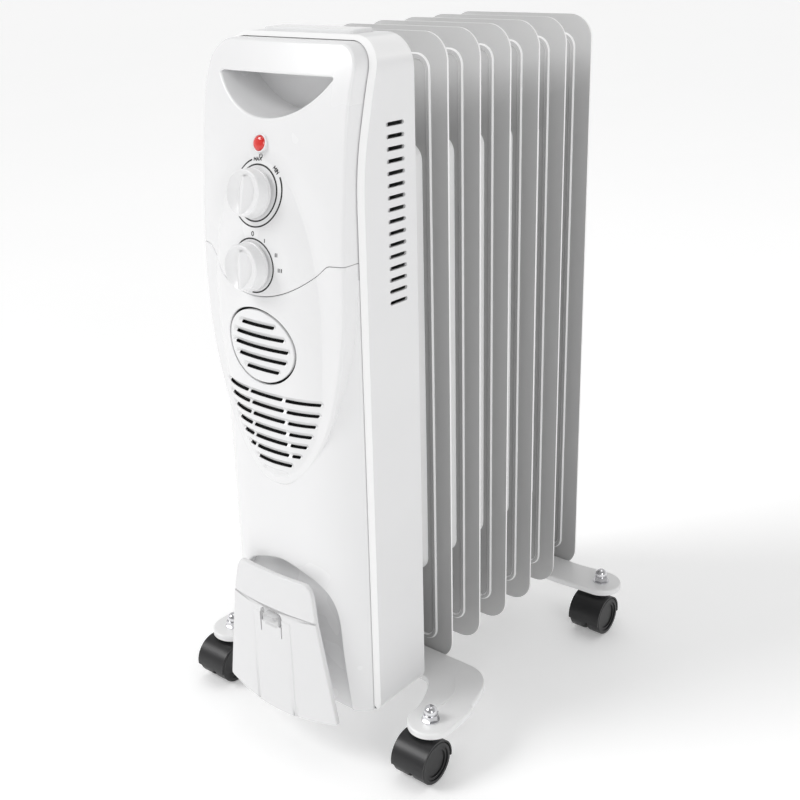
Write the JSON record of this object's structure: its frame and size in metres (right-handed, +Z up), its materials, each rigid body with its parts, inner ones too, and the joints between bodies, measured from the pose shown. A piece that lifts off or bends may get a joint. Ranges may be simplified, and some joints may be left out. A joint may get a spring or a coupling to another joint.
{
  "type": "oil filled radiator heater",
  "caption": "Oil filled electric radiator heater: pressed steel fins in a row, a front control housing with two dials, a hand grip and cord store, on twin wheel castors.",
  "frame": {"origin": "on the floor, under the middle of the heater's box", "axes": "+Z up, +Y towards the rear fin, so the control face looks to -Y, +X to the right seen from the front"},
  "size_m": [0.294, 0.4093, 0.6375],
  "materials": {
    "fin_paint": "smooth baked paint",
    "steel": "plain",
    "brass": "turned",
    "housing_plastic": "satin",
    "cover_plastic": "gloss",
    "dial_plastic": "satin",
    "inner_plastic": "matt",
    "spindle_metal": "turned",
    "lamp_red": "clear gloss",
    "lamp_body": "matt",
    "gland_rubber": "matt",
    "bracket_paint": "smooth baked paint",
    "nut_chrome": "bright",
    "stem_steel": "plain",
    "castor_black": "satin",
    "wheel_black": "satin"
  },
  "bodies": {
    "heater": {"fin_1": "fin_paint", "fin_2": "fin_paint", "fin_3": "fin_paint", "fin_4": "fin_paint", "fin_5": "fin_paint", "fin_6": "fin_paint", "fin_7": "fin_paint", "lower_hub_pipes": "fin_paint", "upper_hub_pipes": "fin_paint", "heating_element": "steel", "heat_shield": "steel", "u_bolts": "steel", "wing_nuts": "steel", "cover_screws": "steel", "element_flange": "brass", "oil_filler_plug": "brass", "housing_shell": "housing_plastic", "control_cover": "cover_plastic", "lower_cover": "cover_plastic", "round_grille": "cover_plastic", "cord_wrap_plate": "cover_plastic", "top_cap": "cover_plastic", "thermostat_body": "inner_plastic", "selector_switch_body": "inner_plastic", "terminal_block": "inner_plastic", "thermal_cutout": "inner_plastic", "lamp_lens": "lamp_red", "lamp_body": "lamp_body", "cord_gland": "gland_rubber", "front_foot_bracket": "bracket_paint", "rear_foot_bracket": "bracket_paint", "castor_nuts": "nut_chrome", "castor_stem_front_left": "stem_steel", "castor_stem_front_right": "stem_steel", "castor_stem_rear_left": "stem_steel", "castor_stem_rear_right": "stem_steel"},
    "thermostat_dial": {"thermostat_knob": "dial_plastic", "thermostat_spindle": "spindle_metal"},
    "selector_dial": {"selector_knob": "dial_plastic", "selector_spindle": "spindle_metal"},
    "castor_front_left": {"castor_hood_front_left": "castor_black", "castor_axle_front_left": "stem_steel"},
    "wheel_inner_front_left": {"castor_wheel_inner_front_left": "wheel_black"},
    "wheel_outer_front_left": {"castor_wheel_outer_front_left": "wheel_black"},
    "castor_front_right": {"castor_hood_front_right": "castor_black", "castor_axle_front_right": "stem_steel"},
    "wheel_inner_front_right": {"castor_wheel_inner_front_right": "wheel_black"},
    "wheel_outer_front_right": {"castor_wheel_outer_front_right": "wheel_black"},
    "castor_rear_left": {"castor_hood_rear_left": "castor_black", "castor_axle_rear_left": "stem_steel"},
    "wheel_inner_rear_left": {"castor_wheel_inner_rear_left": "wheel_black"},
    "wheel_outer_rear_left": {"castor_wheel_outer_rear_left": "wheel_black"},
    "castor_rear_right": {"castor_hood_rear_right": "castor_black", "castor_axle_rear_right": "stem_steel"},
    "wheel_inner_rear_right": {"castor_wheel_inner_rear_right": "wheel_black"},
    "wheel_outer_rear_right": {"castor_wheel_outer_rear_right": "wheel_black"}
  },
  "joints": [
    {"name": "thermostat_turn", "type": "hinge", "parent": "heater", "child": "thermostat_dial", "pos_m": [0, -0.1822, 0.517], "axis": [0, 0.9816, -0.1908], "range_deg": [0, 310]},
    {"name": "selector_turn", "type": "hinge", "parent": "heater", "child": "selector_dial", "pos_m": [0, -0.1898, 0.46], "axis": [0, 0.9976, -0.0698], "range_deg": [0, 90]},
    {"name": "castor_front_left_swivel", "type": "hinge", "parent": "heater", "child": "castor_front_left", "pos_m": [-0.126, -0.1295, 0.04], "axis": [0, 0, 1], "continuous": true},
    {"name": "wheel_inner_front_left_roll", "type": "hinge", "parent": "castor_front_left", "child": "wheel_inner_front_left", "pos_m": [-0.126, -0.1435, 0.0195], "axis": [1, 0, 0], "continuous": true},
    {"name": "wheel_outer_front_left_roll", "type": "hinge", "parent": "castor_front_left", "child": "wheel_outer_front_left", "pos_m": [-0.126, -0.1435, 0.0195], "axis": [1, 0, 0], "continuous": true},
    {"name": "castor_front_right_swivel", "type": "hinge", "parent": "heater", "child": "castor_front_right", "pos_m": [0.126, -0.1295, 0.04], "axis": [0, 0, 1], "continuous": true},
    {"name": "wheel_inner_front_right_roll", "type": "hinge", "parent": "castor_front_right", "child": "wheel_inner_front_right", "pos_m": [0.126, -0.1435, 0.0195], "axis": [1, 0, 0], "continuous": true},
    {"name": "wheel_outer_front_right_roll", "type": "hinge", "parent": "castor_front_right", "child": "wheel_outer_front_right", "pos_m": [0.126, -0.1435, 0.0195], "axis": [1, 0, 0], "continuous": true},
    {"name": "castor_rear_left_swivel", "type": "hinge", "parent": "heater", "child": "castor_rear_left", "pos_m": [-0.126, 0.169, 0.04], "axis": [0, 0, 1], "continuous": true},
    {"name": "wheel_inner_rear_left_roll", "type": "hinge", "parent": "castor_rear_left", "child": "wheel_inner_rear_left", "pos_m": [-0.126, 0.155, 0.0195], "axis": [1, 0, 0], "continuous": true},
    {"name": "wheel_outer_rear_left_roll", "type": "hinge", "parent": "castor_rear_left", "child": "wheel_outer_rear_left", "pos_m": [-0.126, 0.155, 0.0195], "axis": [1, 0, 0], "continuous": true},
    {"name": "castor_rear_right_swivel", "type": "hinge", "parent": "heater", "child": "castor_rear_right", "pos_m": [0.126, 0.169, 0.04], "axis": [0, 0, 1], "continuous": true},
    {"name": "wheel_inner_rear_right_roll", "type": "hinge", "parent": "castor_rear_right", "child": "wheel_inner_rear_right", "pos_m": [0.126, 0.155, 0.0195], "axis": [1, 0, 0], "continuous": true},
    {"name": "wheel_outer_rear_right_roll", "type": "hinge", "parent": "castor_rear_right", "child": "wheel_outer_rear_right", "pos_m": [0.126, 0.155, 0.0195], "axis": [1, 0, 0], "continuous": true}
  ]
}
